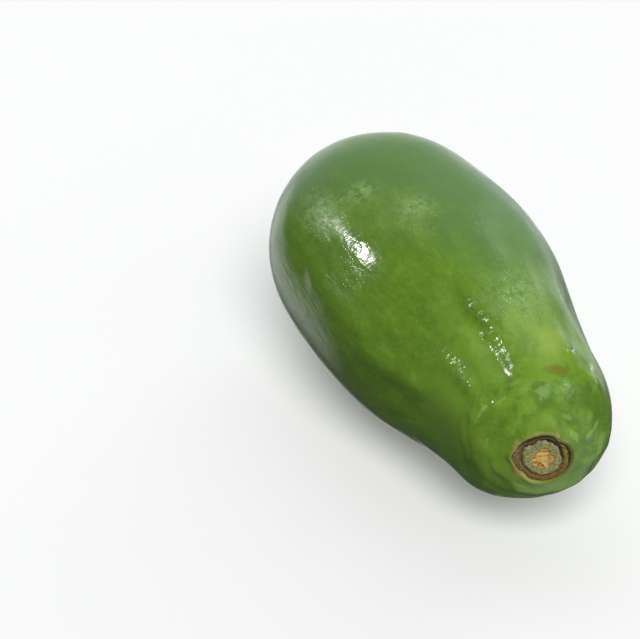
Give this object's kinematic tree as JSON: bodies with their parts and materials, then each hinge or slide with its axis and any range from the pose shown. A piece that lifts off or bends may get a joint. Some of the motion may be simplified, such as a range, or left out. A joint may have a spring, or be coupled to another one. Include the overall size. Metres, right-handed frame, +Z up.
{
  "type": "green papaya",
  "caption": "Whole green papaya with blunt ribs, a bent neck and a round corky stem scar, lying on its side on a small flat spot.",
  "frame": {"origin": "middle of the footprint, at the level of the surface the fruit lies on", "axes": "+X towards the stem end, along the fruit's length; +Z up"},
  "size_m": [0.2506, 0.1306, 0.131],
  "materials": {
    "green_skin": "waxy smooth skin, glossy with fine pits, and a dry fibrous stem scar"
  },
  "bodies": {
    "root": {"papaya": "green_skin"}
  },
  "joints": []
}
